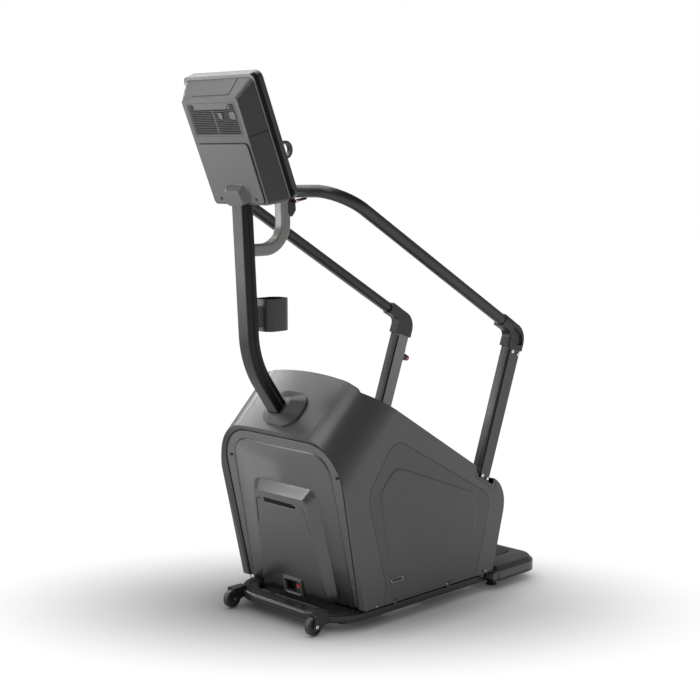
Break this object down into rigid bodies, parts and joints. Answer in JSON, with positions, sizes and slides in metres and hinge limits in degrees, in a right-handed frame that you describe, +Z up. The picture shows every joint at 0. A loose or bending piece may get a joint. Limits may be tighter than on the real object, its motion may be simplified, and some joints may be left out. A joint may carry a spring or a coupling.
{
  "type": "stair climber",
  "caption": "Revolving-stair climber for gyms: enclosed chain-driven steps between tall handrails, console on a bent mast, step-on platform and transport wheels.",
  "frame": {"origin": "on the floor, under the middle of the overall bounding box", "axes": "+Z up, +X across the machine, +Y towards the rear, where the user steps on and stands facing -Y"},
  "size_m": [0.744, 1.5042, 2.0962],
  "materials": {
    "step_plastic": "fine moulded grain",
    "shaft_steel": "turned",
    "sprocket_steel": "oiled",
    "chain_steel": "oiled",
    "bearing_iron": "cast",
    "pulley_aluminium": "machined",
    "belt_rubber": "ribbed",
    "motor_paint": "semi-gloss",
    "frame_paint": "satin powder coat",
    "mast_paint": "satin powder coat",
    "rail_paint": "satin powder coat",
    "upright_paint": "satin powder coat",
    "elbow_paint": "fine cast texture",
    "wheel_rubber": "matte",
    "foot_rubber": "matte",
    "shroud_plastic": "metallic charcoal, fine grain",
    "panel_plastic": "metallic charcoal, fine grain",
    "skirt_plastic": "fine grain",
    "platform_plastic": "fine grain",
    "grip_rubber": "ribbed",
    "inlet_plastic": "gloss black",
    "rocker_red": "gloss red",
    "console_plastic": "fine grain",
    "door_plastic": "metallic charcoal, fine grain",
    "bezel_plastic": "fine grain",
    "display_glass": "gloss black",
    "cup_plastic": "fine grain",
    "pod_plastic": "fine grain",
    "lever_plastic": "soft touch",
    "stop_red": "gloss red",
    "bolt_steel": "zinc plated",
    "screw_steel": "black oxide"
  },
  "bodies": {
    "machine": {"base_cross_tubes": "frame_paint", "base_loop_tube": "frame_paint", "console_back_shell": "console_plastic", "console_bezel": "bezel_plastic", "console_display": "display_glass", "console_door": "door_plastic", "control_pod": "pod_plastic", "cup_holder": "cup_plastic", "drive_belt": "belt_rubber", "drive_motor": "motor_paint", "estop_housing": "pod_plastic", "frame_bolts": "bolt_steel", "front_apron": "skirt_plastic", "front_shroud": "shroud_plastic", "handrail_left": "rail_paint", "handrail_right": "rail_paint", "inner_skirt_left": "skirt_plastic", "inner_skirt_right": "skirt_plastic", "levelling_feet": "foot_rubber", "mast": "mast_paint", "mast_collar_left": "shroud_plastic", "mast_collar_right": "shroud_plastic", "mast_crossbeam": "frame_paint", "platform_grip_pad": "grip_rubber", "power_inlet": "inlet_plastic", "rail_elbow_left": "elbow_paint", "rail_elbow_right": "elbow_paint", "rear_kick_plate": "skirt_plastic", "rear_platform": "platform_plastic", "shaft_bearings": "bearing_iron", "shroud_screws": "screw_steel", "side_panel_left": "panel_plastic", "side_panel_right": "panel_plastic", "side_shroud_left": "shroud_plastic", "side_shroud_right": "shroud_plastic", "stair_frame_left": "frame_paint", "stair_frame_right": "frame_paint", "step_chains": "chain_steel", "support_arm": "rail_paint", "top_cover": "shroud_plastic", "upright_left": "upright_paint", "upright_right": "upright_paint", "wheel_brackets": "frame_paint"},
    "drive_train": {"upper_shaft": "shaft_steel", "upper_sprockets": "sprocket_steel", "drive_pulley": "pulley_aluminium"},
    "idler_train": {"lower_shaft": "shaft_steel", "lower_sprockets": "sprocket_steel"},
    "motor_rotor": {"motor_pulley": "pulley_aluminium"},
    "stair_1": {"step_1": "step_plastic"},
    "stair_2": {"step_2": "step_plastic"},
    "stair_3": {"step_3": "step_plastic"},
    "stair_4": {"step_4": "step_plastic"},
    "stair_5": {"step_5": "step_plastic"},
    "stair_6": {"step_6": "step_plastic"},
    "wheel_left": {"transport_wheel_left": "wheel_rubber"},
    "wheel_right": {"transport_wheel_right": "wheel_rubber"},
    "stop_button": {"estop_button": "stop_red"},
    "lever": {"stop_lever": "lever_plastic"},
    "rocker": {"power_rocker": "rocker_red"}
  },
  "joints": [
    {"name": "drive_turn", "type": "hinge", "parent": "machine", "child": "drive_train", "pos_m": [0, -0.16486, 0.61], "axis": [-1, 0, 0], "range_deg": [0, 180]},
    {"name": "idler_turn", "type": "hinge", "parent": "machine", "child": "idler_train", "pos_m": [0, 0.28514, 0.21], "axis": [-1, 0, 0], "range_deg": [0, 180.01]},
    {"name": "motor_turn", "type": "hinge", "parent": "machine", "child": "motor_rotor", "pos_m": [0, -0.19486, 0.225], "axis": [-1, 0, 0], "range_deg": [0, 900.05]},
    {"name": "step_1_travel", "type": "hinge", "parent": "machine", "child": "stair_1", "pos_m": [0, 0.28514, 0.21], "axis": [-1, 0, 0], "range_deg": [0, 180.01]},
    {"name": "step_2_travel", "type": "slide", "parent": "machine", "child": "stair_2", "axis": [0, 0.7474, -0.6644], "range_m": [0, 0.30106]},
    {"name": "step_3_travel", "type": "slide", "parent": "machine", "child": "stair_3", "axis": [0, 0.7474, -0.6644], "range_m": [0, 0.30106]},
    {"name": "step_4_travel", "type": "hinge", "parent": "machine", "child": "stair_4", "pos_m": [0, -0.16486, 0.61], "axis": [-1, 0, 0], "range_deg": [0, 180.01]},
    {"name": "step_5_travel", "type": "slide", "parent": "machine", "child": "stair_5", "axis": [0, -0.7474, 0.6644], "range_m": [0, 0.30106]},
    {"name": "step_6_travel", "type": "slide", "parent": "machine", "child": "stair_6", "axis": [0, -0.7474, 0.6644], "range_m": [0, 0.30106]},
    {"name": "wheel_left_roll", "type": "hinge", "parent": "machine", "child": "wheel_left", "pos_m": [-0.238, -0.46986, 0.0395], "axis": [1, 0, 0], "continuous": true},
    {"name": "wheel_right_roll", "type": "hinge", "parent": "machine", "child": "wheel_right", "pos_m": [0.238, -0.46986, 0.0395], "axis": [1, 0, 0], "continuous": true},
    {"name": "stop_button_press", "type": "slide", "parent": "machine", "child": "stop_button", "axis": [0, -0.9379, 0.3469], "range_m": [0, 0.004], "stiffness_N_per_m": 800, "springref_m": -0.002},
    {"name": "stop_lever_pull", "type": "hinge", "parent": "machine", "child": "lever", "pos_m": [0.036, -0.36986, 1.628], "axis": [-1, 0, 0], "range_deg": [0, 18], "stiffness_Nm_per_rad": 0.8, "springref_deg": -8.59},
    {"name": "rocker_tip", "type": "hinge", "parent": "machine", "child": "rocker", "pos_m": [0.023, -0.34853, 0.1184], "axis": [1, 0, 0], "range_deg": [0, 12]}
  ],
  "couplings": [
    {"joint": "idler_turn", "follows": "drive_turn", "ratio": 1},
    {"joint": "motor_turn", "follows": "drive_turn", "ratio": 5},
    {"joint": "step_1_travel", "follows": "drive_turn", "ratio": 1},
    {"joint": "step_2_travel", "follows": "drive_turn", "m_per_rad": 0.095824},
    {"joint": "step_3_travel", "follows": "drive_turn", "m_per_rad": 0.095824},
    {"joint": "step_4_travel", "follows": "drive_turn", "ratio": 1},
    {"joint": "step_5_travel", "follows": "drive_turn", "m_per_rad": 0.095824},
    {"joint": "step_6_travel", "follows": "drive_turn", "m_per_rad": 0.095824}
  ]
}
